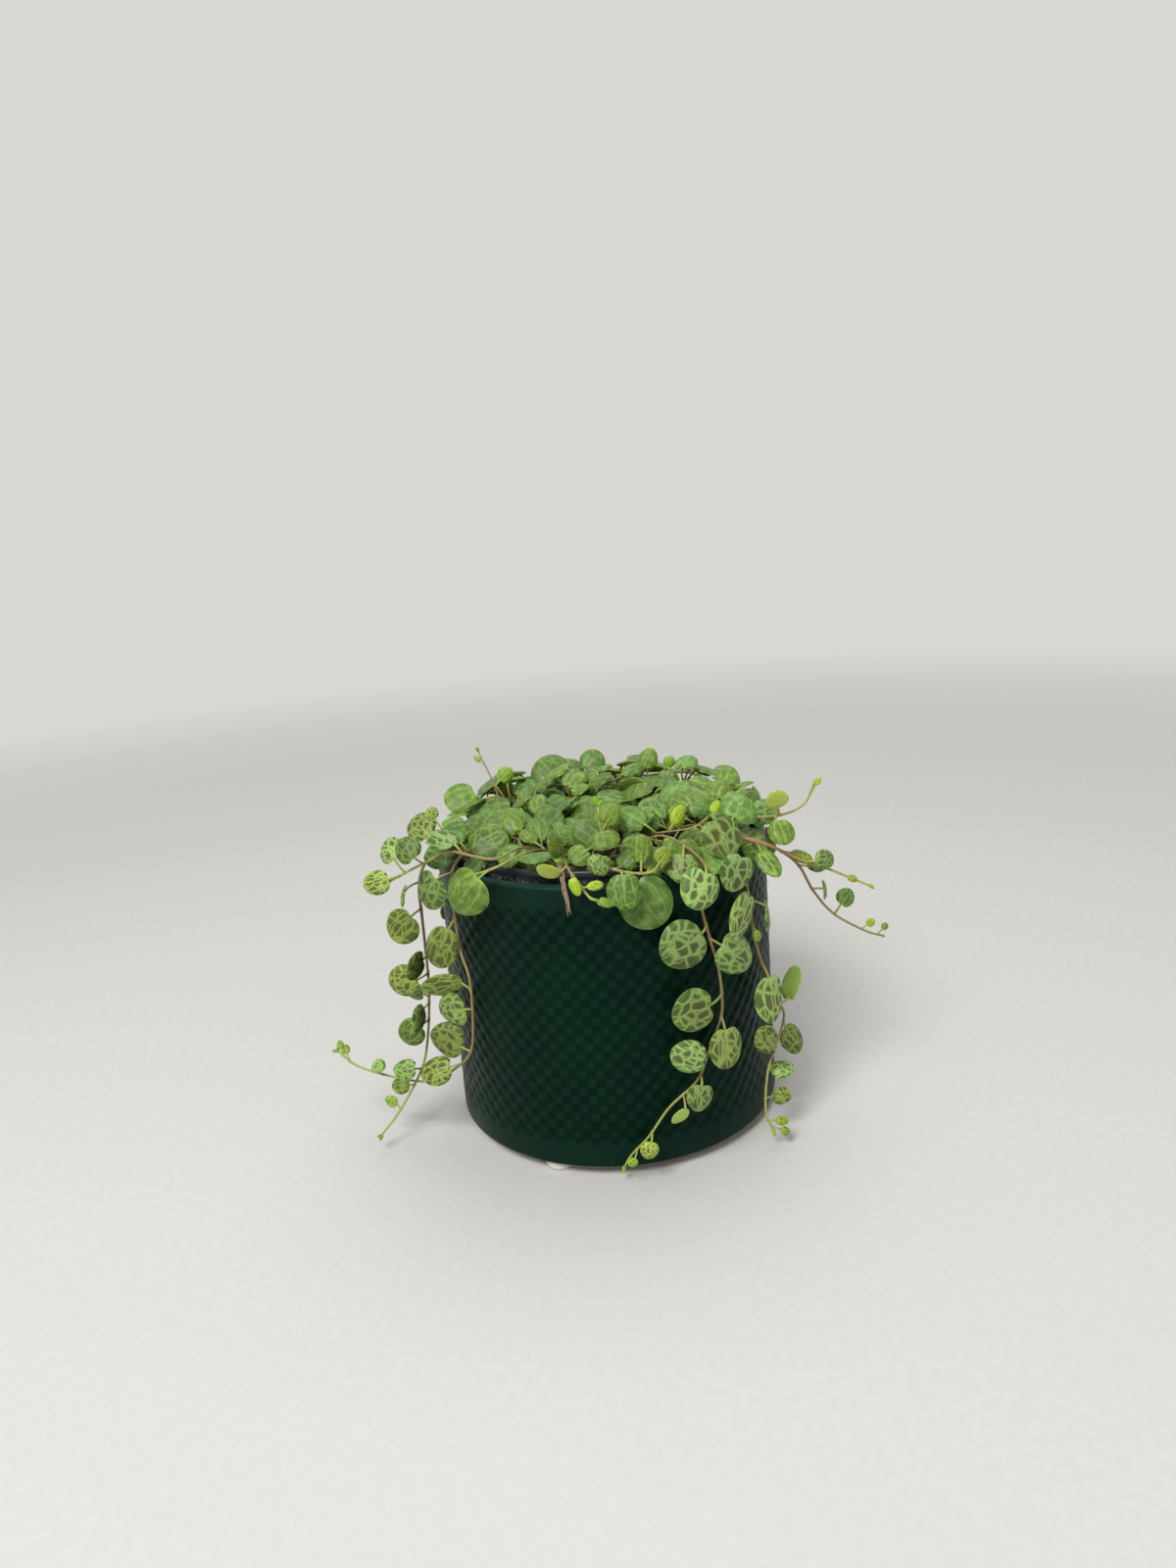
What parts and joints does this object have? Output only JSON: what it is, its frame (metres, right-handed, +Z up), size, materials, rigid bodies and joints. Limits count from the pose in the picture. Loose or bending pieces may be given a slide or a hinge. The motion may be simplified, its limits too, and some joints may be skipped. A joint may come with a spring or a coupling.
{
  "type": "potted string of turtles",
  "caption": "Trailing plant with round fleshy patterned leaves in a nursery pot, standing in a straight glazed cover pot on small foot pads.",
  "frame": {"origin": "on the pot's axis, at the surface that the foot pads stand on, which is within 1 mm of the middle of the whole part's outline in plan", "axes": "+Z up along the pot's axis; -Y is the side with the bare stretch of rim and the withered stalk, +X is the side where the bare shoots reach out"},
  "size_m": [0.1993, 0.1342, 0.1301],
  "materials": {
    "glazed_pot": "satin",
    "nursery_plastic": "matte",
    "potting_mix": "matte",
    "foot_pads": "matte",
    "withered_stalk": "matte",
    "leaves_and_stems": "satin"
  },
  "bodies": {
    "root": {"cover_pot": "glazed_pot", "foot_pad_1": "foot_pads", "foot_pad_2": "foot_pads", "foot_pad_3": "foot_pads", "nursery_pot": "nursery_plastic", "soil": "potting_mix", "vine_back_left_shoot": "leaves_and_stems", "vine_back_right_shoot": "leaves_and_stems", "vine_back_shoot_1": "leaves_and_stems", "vine_back_trailer_1": "leaves_and_stems", "vine_back_trailer_2": "leaves_and_stems", "vine_back_trailer_3": "leaves_and_stems", "vine_back_trailer_4": "leaves_and_stems", "vine_back_trailer_5": "leaves_and_stems", "vine_back_trailer_6": "leaves_and_stems", "vine_crown_01": "leaves_and_stems", "vine_crown_02": "leaves_and_stems", "vine_crown_03": "leaves_and_stems", "vine_crown_04": "leaves_and_stems", "vine_crown_05": "leaves_and_stems", "vine_crown_06": "leaves_and_stems", "vine_crown_07": "leaves_and_stems", "vine_crown_08": "leaves_and_stems", "vine_crown_09": "leaves_and_stems", "vine_crown_10": "leaves_and_stems", "vine_crown_11": "leaves_and_stems", "vine_crown_12": "leaves_and_stems", "vine_crown_13": "leaves_and_stems", "vine_crown_14": "leaves_and_stems", "vine_crown_15": "leaves_and_stems", "vine_crown_16": "leaves_and_stems", "vine_crown_17": "leaves_and_stems", "vine_crown_18": "leaves_and_stems", "vine_front_rim": "leaves_and_stems", "vine_front_shoot": "leaves_and_stems", "vine_left_arch": "leaves_and_stems", "vine_left_front_leaves": "leaves_and_stems", "vine_left_sweeping": "leaves_and_stems", "vine_left_trailer": "leaves_and_stems", "vine_mound_front_shoot": "leaves_and_stems", "vine_mound_right_shoot": "leaves_and_stems", "vine_right_edge_trailer": "leaves_and_stems", "vine_right_front_trailer": "leaves_and_stems", "vine_right_lower_shoot": "leaves_and_stems", "vine_right_middle_shoot": "leaves_and_stems", "vine_right_upper_shoot": "leaves_and_stems", "withered_stalk": "withered_stalk"}
  },
  "joints": []
}
